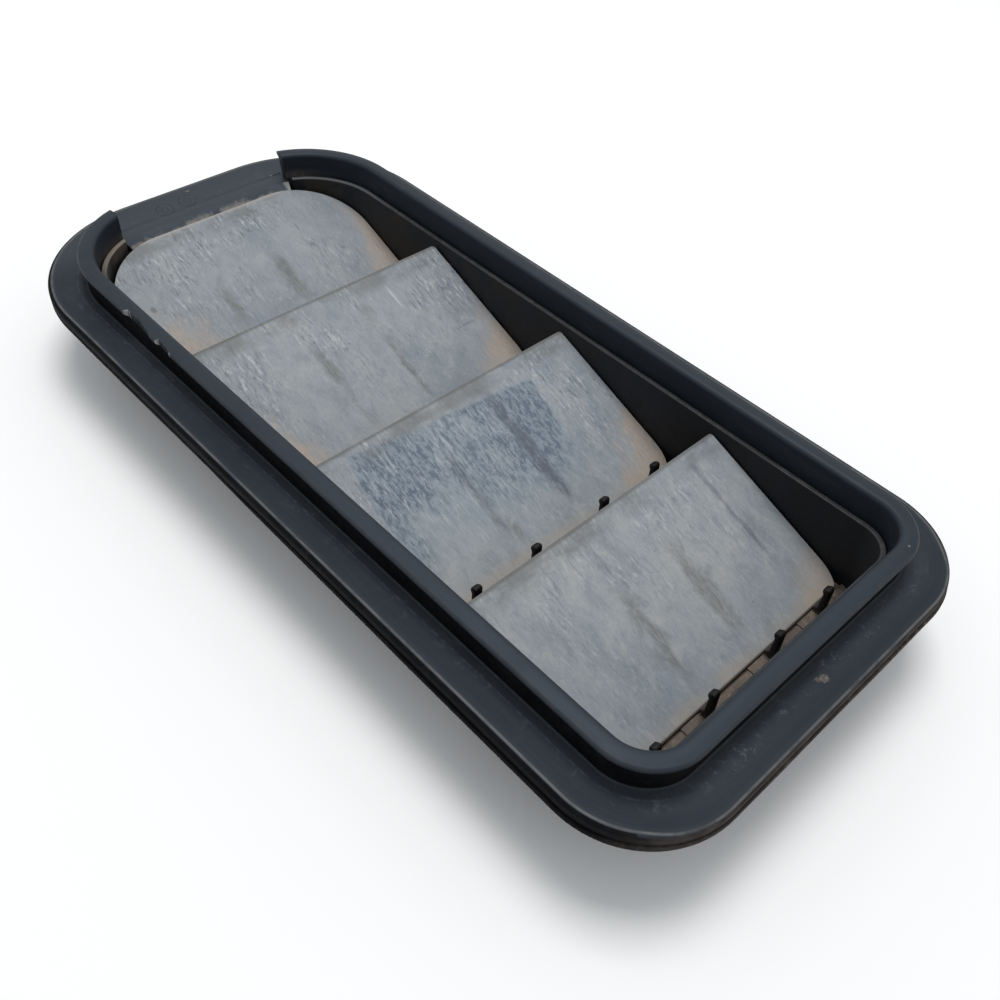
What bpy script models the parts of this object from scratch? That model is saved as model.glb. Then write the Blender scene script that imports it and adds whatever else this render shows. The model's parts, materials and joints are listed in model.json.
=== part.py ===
"""Louvred air vent: a frame with a raised collar, a sealed cassette and four hinged rubber flaps."""

import math

import bmesh
import bpy
from mathutils import Matrix

MM = 0.001
GAP = 0.3 * MM

# Frame outline: the rim line on top of the flange, seen from above
HALF_LENGTH = 125.0 * MM
HALF_WIDTH = 59.3 * MM
RADIUS_EAST = 23.0 * MM
RADIUS_WEST = 39.0 * MM
CORNER_STEPS = 10

# Heights are measured from the flange plane, which is this far above the lowest point
DEPTH = 27.0 * MM

# Frame section: distances inwards from the rim line, and heights
RIM_ROUND = 1.0 * MM
FLANGE_UNDER = -2.6 * MM
FLANGE_DISH = -1.2 * MM
WALL_OUTER = 9.7 * MM
SLEEVE_OUTER = 11.4 * MM
WALL_INNER_TOP = 13.2 * MM
WALL_INNER_FOOT = 13.4 * MM
LIP_TOP = 7.85 * MM
LIP_UNDER = 5.9 * MM
LIP_REACH = 8.5 * MM
SLEEVE_FOOT = -12.0 * MM

# Open west end of the collar, and the tongue that drains it into the first bay
DRAIN_HALF = 29.0 * MM
CUT_OUTER = 4.0 * MM
CUT_INNER = 20.0 * MM
CUT_FOOT = 0.6 * MM
CUT_TOP = 12.0 * MM
TONGUE_START = 9.4 * MM
TONGUE_THICK = 0.9 * MM

# Seal ring under the flange
SEAL_OUTER = -1.6 * MM
SEAL_INNER = 9.6 * MM
SEAL_FOOT = -4.5 * MM

# Cassette: a rounded box wall inside the sleeve, with cross walls between the bays
CASSETTE_OUTER = WALL_INNER_FOOT + GAP
CASSETTE_WALL = 1.5 * MM
CASSETTE_INNER = CASSETTE_OUTER + CASSETTE_WALL
CASSETTE_TOP = 0.4 * MM
CASSETTE_FOOT = -DEPTH
CAVITY_HALF_X = HALF_LENGTH - CASSETTE_INNER
CAVITY_HALF_Y = HALF_WIDTH - CASSETTE_INNER

# Four bays, each with a sloping flap hinged at its low edge
BAYS = 4
PITCH = 54.8 * MM
FIRST_FREE_X = -108.1 * MM
TILT = math.radians(20.9)
FLAP_RUN = 45.6 * MM
FLAP_THICK = 0.9 * MM
FLAP_HALF_Y = CAVITY_HALF_Y - 0.5 * MM
FLAP_TOP_FREE = -1.8 * MM
BEAD_RADIUS = 0.85 * MM
FLAP_LENGTH = FLAP_RUN / math.cos(TILT)
HINGE_Z = FLAP_TOP_FREE - FLAP_RUN * math.tan(TILT) - FLAP_THICK / 2 / math.cos(TILT)

# Seat grid under each flap
SEAT_THICK = 1.8 * MM
SEAT_DROP = FLAP_THICK / 2 + GAP
SEAT_END = 1.9 * MM
SEAT_START = 0.4 * MM
SEAT_HALF_Y = CAVITY_HALF_Y - GAP
SEAT_BORDER = 4.5 * MM
SEAT_BAR = 2.4 * MM
SEAT_COLUMNS = 5
SEAT_ROWS = 2

# Hook bar along each hinge
BAR_FLOOR = -1.2 * MM
BAR_THICK = 1.8 * MM
CURB_TOP = -0.1 * MM
CURB_X = 1.25 * MM
HOOK_X = 2.0 * MM
HOOK_TOP = 9.2 * MM
HOOK_WIDTH = 2.4 * MM
HOOK_Y = (-31.7 * MM, -12.1 * MM, 12.1 * MM, 31.7 * MM)
PAD_LENGTH = 6.4 * MM

# Spring clips that hold the sleeve in the panel
CLIP_WIDTH = 12.0 * MM
CLIP_SHEET = 0.5 * MM
CLIP_SIDE_X = 62.0 * MM
CLIP_TOP = -5.8 * MM
CLIP_FOLD = -10.6 * MM
CLIP_FOLD_RADIUS = 0.6 * MM
GUIDE_TOP = -5.6 * MM
GUIDE_FOOT = -11.0 * MM
GUIDE_PROUD = 1.4 * MM
GUIDE_RAIL = 1.6 * MM

BLACK = (0.035, 0.042, 0.052)
DARK = (0.022, 0.025, 0.030)
SEAL_BLACK = (0.018, 0.018, 0.019)
RUBBER_GREY = (0.30, 0.33, 0.36)
STEEL = (0.45, 0.46, 0.47)


def clear_scene():
    for obj in list(bpy.data.objects):
        bpy.data.objects.remove(obj, do_unlink=True)


def new_collection(name):
    group = bpy.data.collections.new(name)
    bpy.context.scene.collection.children.link(group)
    return group


def new_material(name, color, roughness, metallic=0.0):
    material = bpy.data.materials.new(name)
    material.use_nodes = True
    shader = material.node_tree.nodes["Principled BSDF"]
    shader.inputs["Base Color"].default_value = (*color, 1.0)
    shader.inputs["Roughness"].default_value = roughness
    shader.inputs["Metallic"].default_value = metallic
    return material


def arc(cx, cy, radius, start, end, steps):
    """Points on a circular arc, angles in degrees."""
    points = []
    for k in range(steps + 1):
        angle = math.radians(start + (end - start) * k / steps)
        points.append((cx + radius * math.cos(angle), cy + radius * math.sin(angle)))
    return points


def outline(inset):
    """The rounded rim outline moved inwards by inset, anticlockwise from the east side."""
    x = HALF_LENGTH - inset
    y = HALF_WIDTH - inset
    east = RADIUS_EAST - inset
    west = RADIUS_WEST - inset
    points = arc(x - east, y - east, east, 0, 90, CORNER_STEPS)
    points += arc(-x + west, y - west, west, 90, 180, CORNER_STEPS)
    points += arc(-x + west, -y + west, west, 180, 270, CORNER_STEPS)
    points += arc(x - east, -y + east, east, 270, 360, CORNER_STEPS)
    return points


def flat_curve(name, loops):
    """A 2D curve of closed poly splines."""
    data = bpy.data.curves.new(name, "CURVE")
    data.dimensions = "2D"
    for points in loops:
        spline = data.splines.new("POLY")
        spline.points.add(len(points) - 1)
        for point, (x, y) in zip(spline.points, points):
            point.co = (x, y, 0.0, 1.0)
        spline.use_cyclic_u = True
    return bpy.data.objects.new(name, data)


def curve_to_mesh(curve, name):
    """Turn a curve object into a welded mesh object and remove the curve."""
    bpy.context.scene.collection.objects.link(curve)
    graph = bpy.context.evaluated_depsgraph_get()
    mesh = bpy.data.meshes.new_from_object(curve.evaluated_get(graph))
    bpy.data.objects.remove(curve, do_unlink=True)
    tidy_mesh(mesh)
    return bpy.data.objects.new(name, mesh)


def tidy_mesh(mesh):
    bm = bmesh.new()
    bm.from_mesh(mesh)
    bmesh.ops.remove_doubles(bm, verts=bm.verts, dist=0.00001)
    bmesh.ops.recalc_face_normals(bm, faces=bm.faces)
    bm.to_mesh(mesh)
    bm.free()
    mesh.materials.clear()


def plate(name, loops, low, high):
    """A flat outline, with any holes, made thick from low to high."""
    curve = flat_curve(name, loops)
    curve.data.fill_mode = "BOTH"
    curve.data.extrude = (high - low) / 2
    obj = curve_to_mesh(curve, name)
    obj.data.transform(Matrix.Translation((0, 0, (low + high) / 2)))
    return obj


def side_profile(name, points, width, x=0.0, y=0.0, z=0.0):
    """A profile drawn in x and z, made thick along y and centred on (x, y, z)."""
    obj = plate(name, [points], -width / 2, width / 2)
    obj.data.transform(Matrix.Rotation(math.radians(90), 4, "X"))
    obj.data.transform(Matrix.Translation((x, y, z)))
    return obj


def boxes(name, extents):
    """One mesh of boxes, each (x0, x1, y0, y1, z0, z1)."""
    bm = bmesh.new()
    for x0, x1, y0, y1, z0, z1 in extents:
        scale = Matrix.Diagonal((x1 - x0, y1 - y0, z1 - z0, 1.0))
        place = Matrix.Translation(((x0 + x1) / 2, (y0 + y1) / 2, (z0 + z1) / 2))
        bmesh.ops.create_cube(bm, size=1.0, matrix=place @ scale)
    mesh = bpy.data.meshes.new(name)
    bm.to_mesh(mesh)
    bm.free()
    return bpy.data.objects.new(name, mesh)


def swept_ring(name, section):
    """A closed section, in inward distance and height, swept round the rim outline."""
    path = flat_curve(name, [outline(0.0)])
    profile = flat_curve(name + "_section", [section])
    bpy.context.scene.collection.objects.link(profile)
    path.data.bevel_mode = "OBJECT"
    path.data.bevel_object = profile
    obj = curve_to_mesh(path, name)
    bpy.data.objects.remove(profile, do_unlink=True)
    return obj


class Model:
    """Collections, the datum empty and the helpers that place pieces on it."""

    def __init__(self):
        self.parts = new_collection("louvred_air_vent")
        self.cutters = new_collection("cutters")
        self.datum = bpy.data.objects.new("flange_plane", None)
        self.datum.location = (0, 0, DEPTH)
        self.parts.objects.link(self.datum)

    def add(self, obj, material, location=(0, 0, 0), tilt=0.0, smooth=30):
        self.parts.objects.link(obj)
        obj.parent = self.datum
        obj.location = location
        obj.rotation_euler = (0, tilt, 0)
        obj.data.materials.append(material)
        obj.data.shade_smooth()
        obj.data.set_sharp_from_angle(angle=math.radians(smooth))
        return obj

    def combine(self, target, tool, operation):
        """Cut a tool out of a piece, or join it on, with an exact Boolean."""
        self.cutters.objects.link(tool)
        tool.parent = target
        tool.hide_render = True
        tool.display_type = "WIRE"
        modifier = target.modifiers.new(tool.name, "BOOLEAN")
        modifier.object = tool
        modifier.operation = operation
        modifier.solver = "EXACT"


def free_x(bay):
    return FIRST_FREE_X + bay * PITCH


def hinge_x(bay):
    return free_x(bay) + FLAP_RUN


def frame_section():
    """Flange, collar with its rounded overhanging lip, and the sleeve below."""
    points = [(-RIM_ROUND, FLANGE_UNDER)]
    points += arc(0.0, -RIM_ROUND, RIM_ROUND, 180, 90, 4)
    fillet = 0.5 * MM
    points += arc(WALL_OUTER - fillet, FLANGE_DISH + fillet, fillet, -95, 0, 3)
    under = 0.3 * MM
    points += arc(WALL_OUTER - under, LIP_UNDER - 0.1 * MM - under, under, 0, 90, 3)
    edge = 0.85 * MM
    points += arc(LIP_REACH + edge, LIP_UNDER + edge, edge, 270, 90, 6)
    inner = 1.4 * MM
    points += arc(WALL_INNER_TOP - inner, LIP_TOP - inner, inner, 90, 0, 5)
    points += [(WALL_INNER_FOOT, SLEEVE_FOOT), (SLEEVE_OUTER, SLEEVE_FOOT)]
    points.append((SLEEVE_OUTER, FLANGE_UNDER))
    return points


def drain_tongue():
    """The sill that carries water from the open end of the collar down to the first flap."""
    start = -HALF_LENGTH + TONGUE_START
    end = -HALF_LENGTH + CASSETTE_INNER + 0.6 * MM
    crest = -HALF_LENGTH + WALL_INNER_TOP - 0.6 * MM
    points = [
        (start, FLANGE_DISH - TONGUE_THICK),
        (start, FLANGE_DISH + 0.05 * MM),
        (crest, FLANGE_DISH - 0.05 * MM),
        (crest + 0.9 * MM, FLANGE_DISH - 0.3 * MM),
        (end, FLANGE_DISH - 1.5 * MM),
        (end, FLANGE_DISH - 1.5 * MM - TONGUE_THICK),
        (crest, FLANGE_DISH - 1.4 * MM),
    ]
    return side_profile("drain_tongue", points, 2 * DRAIN_HALF - 2 * GAP)


def clip_places():
    """Middle of each spring clip on the rim line, and the direction that it faces."""
    for x in (-CLIP_SIDE_X, CLIP_SIDE_X):
        for side in (1, -1):
            yield (x, side * HALF_WIDTH, math.radians(90 * side))
    for side in (1, -1):
        yield (side * HALF_LENGTH, 0.0, math.radians(0 if side > 0 else 180))


def turned(obj, x, y, angle):
    obj.data.transform(Matrix.Translation((x, y, 0)) @ Matrix.Rotation(angle, 4, "Z"))
    return obj


def clip_guide(index, x, y, angle):
    """Two upright rails on the sleeve, one at each end of a clip."""
    face = -SLEEVE_OUTER - 0.2 * MM
    proud = -SLEEVE_OUTER + GUIDE_PROUD
    half = CLIP_WIDTH / 2 + GAP
    extents = [
        (face, proud, -half - GUIDE_RAIL, -half, GUIDE_FOOT, GUIDE_TOP),
        (face, proud, half, half + GUIDE_RAIL, GUIDE_FOOT, GUIDE_TOP),
    ]
    return turned(boxes(f"clip_guide_{index}", extents), x, y, angle)


def make_frame(model, material):
    frame = model.add(swept_ring("frame", frame_section()), material)
    west = -HALF_LENGTH
    cut = [
        (west + CUT_OUTER, west + CUT_INNER, -DRAIN_HALF, DRAIN_HALF, CUT_FOOT, CUT_TOP),
        (west + WALL_OUTER - 0.8 * MM, west + CUT_INNER, -DRAIN_HALF, DRAIN_HALF,
         FLANGE_DISH - 0.02 * MM, CUT_FOOT + 0.4 * MM),
    ]
    for index, extent in enumerate(cut):
        model.combine(frame, boxes(f"collar_cut_{index + 1}", [extent]), "DIFFERENCE")
    model.combine(frame, drain_tongue(), "UNION")
    for index, (x, y, angle) in enumerate(clip_places()):
        model.combine(frame, clip_guide(index + 1, x, y, angle), "UNION")


def make_seal(model, material):
    loops = [outline(SEAL_OUTER), outline(SEAL_INNER)]
    model.add(plate("perimeter_seal", loops, SEAL_FOOT, FLANGE_UNDER - GAP), material)


def seat_line(x):
    """Height of the underside of a seat grid, x metres from the free edge of its flap."""
    middle = HINGE_Z + (FLAP_RUN - x) * math.tan(TILT)
    return middle - (SEAT_DROP + SEAT_THICK) / math.cos(TILT)


def make_cassette(model, material):
    loops = [outline(CASSETTE_OUTER), outline(CASSETTE_INNER)]
    cassette = model.add(plate("cassette", loops, CASSETTE_FOOT, CASSETTE_TOP), material)
    notch_x = -HALF_LENGTH + CASSETTE_OUTER - 1.0 * MM
    notch = (notch_x, notch_x + 6.0 * MM, -DRAIN_HALF, DRAIN_HALF, -4.6 * MM, 2.0 * MM)
    model.combine(cassette, boxes("rim_notch", [notch]), "DIFFERENCE")
    reach = CAVITY_HALF_Y + CASSETTE_WALL / 2
    web_top = seat_line(2.1 * MM) - GAP
    for bay in range(1, BAYS):
        x = free_x(bay) + 0.5 * MM
        web = (x, x + 1.6 * MM, -reach, reach, HINGE_Z - 4.6 * MM, web_top)
        model.combine(cassette, boxes(f"cross_wall_{bay + 1}", [web]), "UNION")
    for bay in range(BAYS):
        for side in (-1, 1):
            model.combine(cassette, seat_rib(bay, side), "UNION")
    lug = 1.1 * MM
    for index, x in enumerate((-30.0 * MM, 30.0 * MM)):
        for side in (-1, 1):
            name = f"cassette_lug_{2 * index + (side + 3) // 2}"
            wall = side * (HALF_WIDTH - CASSETTE_OUTER - 0.3 * MM)
            tip = side * (HALF_WIDTH - CASSETTE_OUTER + lug)
            low, high = sorted((wall, tip))
            top = SLEEVE_FOOT - GAP
            extent = (x - 5 * MM, x + 5 * MM, low, high, top - 2.0 * MM, top)
            model.combine(cassette, boxes(name, [extent]), "UNION")


def seat_rib(bay, side):
    """A sloping rib on the side wall, on which one edge of a seat grid lies."""
    first = RADIUS_WEST - CASSETTE_INNER if bay == 0 else 4.0 * MM
    last = FLAP_RUN - 4.0 * MM
    points = [
        (first, seat_line(first) - GAP),
        (first, seat_line(first) - GAP - 1.5 * MM),
        (last, seat_line(last) - GAP - 1.5 * MM),
        (last, seat_line(last) - GAP),
    ]
    width = 2.4 * MM
    y = side * (CAVITY_HALF_Y + 0.5 * MM - width / 2)
    return side_profile(f"seat_rib_{2 * bay + (side + 3) // 2}", points, width, x=free_x(bay), y=y)


def seat_windows():
    """Window extents in the plane of a seat, measured from the hinge along the slope."""
    low = -FLAP_LENGTH + SEAT_START + SEAT_BORDER
    high = -SEAT_END - SEAT_BORDER + 1.5 * MM
    size_x = (high - low - (SEAT_ROWS - 1) * SEAT_BAR) / SEAT_ROWS
    span = 2 * (SEAT_HALF_Y - SEAT_BORDER)
    size_y = (span - (SEAT_COLUMNS - 1) * SEAT_BAR) / SEAT_COLUMNS
    for row in range(SEAT_ROWS):
        for column in range(SEAT_COLUMNS):
            x = low + row * (size_x + SEAT_BAR)
            y = -span / 2 + column * (size_y + SEAT_BAR)
            yield (x, x + size_x, y, y + size_y)


def corner_inset(first_bay):
    """Radius of the two free-edge corners of a flap or a seat."""
    return RADIUS_WEST - CASSETTE_INNER - 0.5 * MM if first_bay else 0.8 * MM


def sloping_outline(start, end, half_y, radius):
    """A flap or seat outline in its own plane, with both free-edge corners rounded."""
    points = [(end, -half_y), (end, half_y)]
    points += arc(start + radius, half_y - radius, radius, 90, 180, 6)
    points += arc(start + radius, -half_y + radius, radius, 180, 270, 6)
    return points


def make_seat(model, material, bay):
    start = -FLAP_LENGTH + SEAT_START
    top = -SEAT_DROP
    rim = sloping_outline(start, -SEAT_END, SEAT_HALF_Y, corner_inset(bay == 0))
    seat = plate(f"seat_grid_{bay + 1}", [rim], top - SEAT_THICK, top)
    model.add(seat, material, location=(hinge_x(bay), 0, HINGE_Z), tilt=TILT)
    for index, (x0, x1, y0, y1) in enumerate(seat_windows()):
        if bay == 0 and index in (0, SEAT_COLUMNS - 1):
            x0 = x0 + (x1 - x0) * 0.5
        window = [(x0, x1, y0, y1, top - 2 * SEAT_THICK, top + SEAT_THICK)]
        model.combine(seat, boxes(f"window_{bay + 1}_{index + 1}", window), "DIFFERENCE")


def hook_profile():
    """One hook seen from the side: a shank, a tip that leans over the flap and a nib."""
    points = [(HOOK_X + 1.7 * MM, CURB_TOP - 0.8 * MM), (HOOK_X + 1.4 * MM, HOOK_TOP - 2.4 * MM)]
    points += arc(HOOK_X + 0.5 * MM, HOOK_TOP - 0.9 * MM, 0.9 * MM, 20, 130, 4)
    points += [
        (HOOK_X - 0.9 * MM, HOOK_TOP - 1.3 * MM),
        (HOOK_X - 0.8 * MM, HOOK_TOP - 2.0 * MM),
        (HOOK_X + 0.1 * MM, HOOK_TOP - 2.6 * MM),
        (HOOK_X, 2.2 * MM),
        (HOOK_X - 1.1 * MM, 1.5 * MM),
        (HOOK_X - 1.1 * MM, 1.15 * MM),
        (HOOK_X - 0.2 * MM, 0.5 * MM),
        (HOOK_X - 0.2 * MM, CURB_TOP - 0.8 * MM),
    ]
    return points


def corner_trim(bay):
    """A ring as wide as the cassette wall and more, which rounds the ends of the last hook bar."""
    loops = [outline(CASSETTE_OUTER - 3 * MM), outline(CASSETTE_INNER + GAP)]
    ring = plate("corner_trim", loops, HINGE_Z - 8 * MM, HINGE_Z + 8 * MM)
    ring.data.transform(Matrix.Translation((-hinge_x(bay), 0, -HINGE_Z)))
    return ring


def make_hook_bar(model, material, bay):
    half_y = CAVITY_HALF_Y - GAP
    if bay < BAYS - 1:
        far = PITCH - FLAP_RUN + 0.5 * MM - GAP
    else:
        far = CAVITY_HALF_X - hinge_x(bay) - GAP
    near = -1.4 * MM
    section = [
        (near, BAR_FLOOR - BAR_THICK),
        (far, BAR_FLOOR - BAR_THICK),
        (far, CURB_TOP),
        (CURB_X + 0.3 * MM, CURB_TOP),
        (CURB_X, CURB_TOP - 0.3 * MM),
        (CURB_X, BAR_FLOOR),
        (near, BAR_FLOOR),
    ]
    bar = side_profile(f"hook_bar_{bay + 1}", section, 2 * half_y)
    model.add(bar, material, location=(hinge_x(bay), 0, HINGE_Z))
    if bay == BAYS - 1:
        model.combine(bar, corner_trim(bay), "DIFFERENCE")
    for index, y in enumerate(HOOK_Y):
        hook = side_profile(f"hook_{bay + 1}_{index + 1}", hook_profile(), HOOK_WIDTH, y=y)
        model.combine(bar, hook, "UNION")
        pad_end = y - HOOK_WIDTH / 2 + 0.4 * MM
        pad = (CURB_X - 0.2 * MM, far - 0.6 * MM, pad_end - PAD_LENGTH, pad_end,
               CURB_TOP - 0.5 * MM, CURB_TOP + 0.35 * MM)
        model.combine(bar, boxes(f"pad_{bay + 1}_{index + 1}", [pad]), "UNION")


def make_flap(model, material, bay):
    rim = sloping_outline(-FLAP_LENGTH, 0.0, FLAP_HALF_Y, corner_inset(bay == 0))
    flap = plate(f"flap_{bay + 1}", [rim], -FLAP_THICK / 2, FLAP_THICK / 2)
    model.add(flap, material, location=(hinge_x(bay), 0, HINGE_Z), tilt=TILT)
    bm = bmesh.new()
    spin = Matrix.Rotation(math.radians(90), 4, "X")
    bmesh.ops.create_cone(bm, cap_ends=True, segments=16, radius1=BEAD_RADIUS, radius2=BEAD_RADIUS,
                          depth=2 * FLAP_HALF_Y - 0.2 * MM, matrix=spin)
    mesh = bpy.data.meshes.new(f"bead_{bay + 1}")
    bm.to_mesh(mesh)
    bm.free()
    model.combine(flap, bpy.data.objects.new(f"bead_{bay + 1}", mesh), "UNION")


def make_clip(model, material, index, x, y, angle):
    """A bent strip of spring steel: a back, a fold and an outward leg with a shoulder."""
    back = -SLEEVE_OUTER + GAP + CLIP_SHEET / 2
    line = [(back, CLIP_TOP), (back, CLIP_FOLD)]
    line += arc(back + CLIP_FOLD_RADIUS, CLIP_FOLD, CLIP_FOLD_RADIUS, 180, 340, 4)
    line += [(back + 2.6 * MM, -7.0 * MM), (back + 1.5 * MM, -5.9 * MM)]
    bm = bmesh.new()
    rows = []
    for px, pz in line:
        rows.append([bm.verts.new((px, side * CLIP_WIDTH / 2, pz)) for side in (-1, 1)])
    for (a, b), (c, d) in zip(rows, rows[1:]):
        bm.faces.new((a, b, d, c))
    mesh = bpy.data.meshes.new(f"retaining_clip_{index}")
    bm.to_mesh(mesh)
    bm.free()
    clip = turned(bpy.data.objects.new(f"retaining_clip_{index}", mesh), x, y, angle)
    model.add(clip, material, smooth=20)
    sheet = clip.modifiers.new("sheet", "SOLIDIFY")
    sheet.thickness = CLIP_SHEET
    sheet.offset = 0.0
    sheet.use_even_offset = True


def main():
    clear_scene()
    model = Model()
    shell = new_material("frame_plastic", BLACK, 0.42)
    inner = new_material("cassette_plastic", DARK, 0.5)
    seal = new_material("seal_rubber", SEAL_BLACK, 0.8)
    rubber = new_material("flap_rubber", RUBBER_GREY, 0.6)
    steel = new_material("spring_steel", STEEL, 0.35, metallic=1.0)
    make_frame(model, shell)
    make_seal(model, seal)
    make_cassette(model, inner)
    for bay in range(BAYS):
        make_seat(model, inner, bay)
        make_hook_bar(model, inner, bay)
        make_flap(model, rubber, bay)
    for index, (x, y, angle) in enumerate(clip_places()):
        make_clip(model, steel, index + 1, x, y, angle)


main()
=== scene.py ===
"""Looks for the louvred air vent: a weathered black frame, its cassette and four dusty grey flaps."""

import json
import math

import bmesh
import bpy
import numpy as np
from mathutils import Euler, Matrix, Vector, noise


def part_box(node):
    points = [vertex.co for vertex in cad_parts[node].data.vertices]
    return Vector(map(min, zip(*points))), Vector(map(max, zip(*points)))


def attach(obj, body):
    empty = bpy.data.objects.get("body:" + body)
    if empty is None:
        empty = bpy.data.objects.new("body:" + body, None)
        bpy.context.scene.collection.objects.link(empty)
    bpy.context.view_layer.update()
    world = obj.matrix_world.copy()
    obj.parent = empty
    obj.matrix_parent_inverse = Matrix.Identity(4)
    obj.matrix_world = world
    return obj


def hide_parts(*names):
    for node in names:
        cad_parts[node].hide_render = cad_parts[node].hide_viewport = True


MM = 0.001
ROOT_BODY = "vent_frame"

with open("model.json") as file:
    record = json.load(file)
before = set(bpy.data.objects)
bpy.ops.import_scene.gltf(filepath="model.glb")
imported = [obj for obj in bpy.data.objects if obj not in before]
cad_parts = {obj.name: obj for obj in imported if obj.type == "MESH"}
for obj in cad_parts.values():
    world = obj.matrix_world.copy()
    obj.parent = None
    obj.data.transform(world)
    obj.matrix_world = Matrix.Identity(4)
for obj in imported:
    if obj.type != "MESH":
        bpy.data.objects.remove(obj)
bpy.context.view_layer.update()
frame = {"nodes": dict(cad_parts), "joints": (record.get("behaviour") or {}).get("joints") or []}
nodes = frame["nodes"]

# Frame: the section is given as distance inwards from the rim line and height above the flange plane
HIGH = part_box("frame")[1]
RIM_ROUND = 1.0 * MM
LIP_TOP = 7.85 * MM
HALF_X = HIGH.x - RIM_ROUND
HALF_Y = HIGH.y - RIM_ROUND
PLANE = HIGH.z - LIP_TOP
RADIUS_EAST = 23.0 * MM
RADIUS_WEST = 39.0 * MM
FLANGE_UNDER = -2.6 * MM
FLANGE_DISH = -1.2 * MM
WALL_OUTER = 9.7 * MM
SLEEVE_OUTER = 11.4 * MM
WALL_INNER_TOP = 13.2 * MM
WALL_INNER_FOOT = 13.4 * MM
LIP_UNDER = 5.9 * MM
LIP_REACH = 8.5 * MM
SLEEVE_FOOT = -12.0 * MM
GAP_HALF = 29.0 * MM
TONGUE_PAST = 1.1 * MM
TONGUE_CREST = 13.5 * MM

# Seal, cassette
SEAL_OUTER = -0.95 * MM
SEAL_INNER = 9.6 * MM
SEAL_FOOT = -4.5 * MM
CASSETTE_OUTER = 13.7 * MM
CASSETTE_INNER = 15.2 * MM
CASSETTE_TOP = 0.4 * MM
CAVITY_Y = HALF_Y - CASSETTE_INNER

# Flaps
TILT = math.radians(20.9)
FLAP_RUN = 45.6 * MM
FLAP_LENGTH = FLAP_RUN / math.cos(TILT)
FLAP_THICK = 0.9 * MM
FLAP_CORNER = RADIUS_WEST - CASSETTE_INNER - 0.5 * MM
FLAP_HALF_Y = CAVITY_Y - 0.5 * MM
BEAD = 0.85 * MM
SEAT_THICK = 1.8 * MM
SEAT_GAP = 0.3 * MM
HOOK_PLACES = (-31.7 * MM, -12.1 * MM, 12.1 * MM, 31.7 * MM)
HOOK_WIDTH = 2.4 * MM
RIPPLES = (1.0, 1.0, 0.8, 0.4)
HINGES = [Vector(joint["pos_m"]) for joint in frame["joints"]]
HINGES.sort(key=lambda place: place.x)


# ---------------------------------------------------------------- meshes

def arc(cx, cy, radius, start, end, steps):
    """Points on a circular arc, angles in degrees."""
    angles = [math.radians(start + (end - start) * k / steps) for k in range(steps + 1)]
    return [(cx + radius * math.cos(a), cy + radius * math.sin(a)) for a in angles]


def new_object(name, mesh, material=None):
    obj = bpy.data.objects.new(name, mesh)
    bpy.context.scene.collection.objects.link(obj)
    if material:
        obj.data.materials.append(material)
    return obj


def mesh_from_bmesh(name, bm):
    bmesh.ops.remove_doubles(bm, verts=bm.verts, dist=0.000002)
    bmesh.ops.dissolve_degenerate(bm, edges=bm.edges, dist=0.000001)
    bmesh.ops.recalc_face_normals(bm, faces=bm.faces)
    mesh = bpy.data.meshes.new(name)
    bm.to_mesh(mesh)
    bm.free()
    return mesh


def smooth(obj, angle=32):
    obj.data.shade_smooth()
    obj.data.set_sharp_from_angle(angle=math.radians(angle))
    return obj


def stations(step, fine=None):
    """Points of the rim line, anticlockwise, each with its inward normal. Spacing is step or less."""
    corners = [
        (HALF_X - RADIUS_EAST, HALF_Y - RADIUS_EAST, RADIUS_EAST, 0),
        (-HALF_X + RADIUS_WEST, HALF_Y - RADIUS_WEST, RADIUS_WEST, 90),
        (-HALF_X + RADIUS_WEST, -HALF_Y + RADIUS_WEST, RADIUS_WEST, 180),
        (HALF_X - RADIUS_EAST, -HALF_Y + RADIUS_EAST, RADIUS_EAST, 270),
    ]
    result = []
    for index, (cx, cy, radius, start) in enumerate(corners):
        count = math.ceil(math.radians(90) * radius / step)
        for x, y in arc(cx, cy, radius, start, start + 90, count):
            result.append((Vector((x, y)), (Vector((cx, cy)) - Vector((x, y))).normalized()))
        last, normal = result[-1]
        nx, ny, nr, _ = corners[(index + 1) % 4]
        side = Vector((-normal.y, normal.x)) * -1
        target = Vector((nx, ny)) - normal * nr
        length = (target - last).length
        direction = (target - last).normalized()
        distance = 0.0
        while True:
            here = last + direction * distance
            near = fine is not None and fine[0] < here.x < fine[1] and here.y < 0
            distance += fine[2] if near else step
            if distance > length - step * 0.4:
                break
            result.append((last + direction * distance, normal))
    return result


def join_rings(bm, rings):
    """Faces between neighbouring closed rings of vertices."""
    for ring, after in zip(rings, rings[1:]):
        for k in range(len(ring)):
            m = (k + 1) % len(ring)
            bm.faces.new((ring[k], ring[m], after[m], after[k]))


def sweep(name, section, step=1.6 * MM, fine=None, shift=None):
    """A closed section swept round the rim line. shift(point, inset, height) may move a corner of it."""
    bm = bmesh.new()
    rings = []
    for point, normal in stations(step, fine):
        ring = []
        for inset, height in section:
            if shift:
                inset, height = shift(point, inset, height)
            place = point + normal * inset
            ring.append(bm.verts.new((place.x, place.y, PLANE + height)))
        rings.append(ring)
    join_rings(bm, rings + rings[:1])
    return mesh_from_bmesh(name, bm)


def box_mesh(name, extents, bevel=0.0):
    """One mesh of separate boxes, each (x0, x1, y0, y1, z0, z1), with heights from the flange plane."""
    bm = bmesh.new()
    for x0, x1, y0, y1, z0, z1 in extents:
        scale = Matrix.Diagonal((x1 - x0, y1 - y0, z1 - z0, 1.0))
        place = Matrix.Translation(((x0 + x1) / 2, (y0 + y1) / 2, PLANE + (z0 + z1) / 2))
        bmesh.ops.create_cube(bm, size=1.0, matrix=place @ scale)
    if bevel:
        bmesh.ops.bevel(bm, geom=bm.edges[:], offset=bevel, segments=2, affect="EDGES", profile=0.5)
    return mesh_from_bmesh(name, bm)


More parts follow.
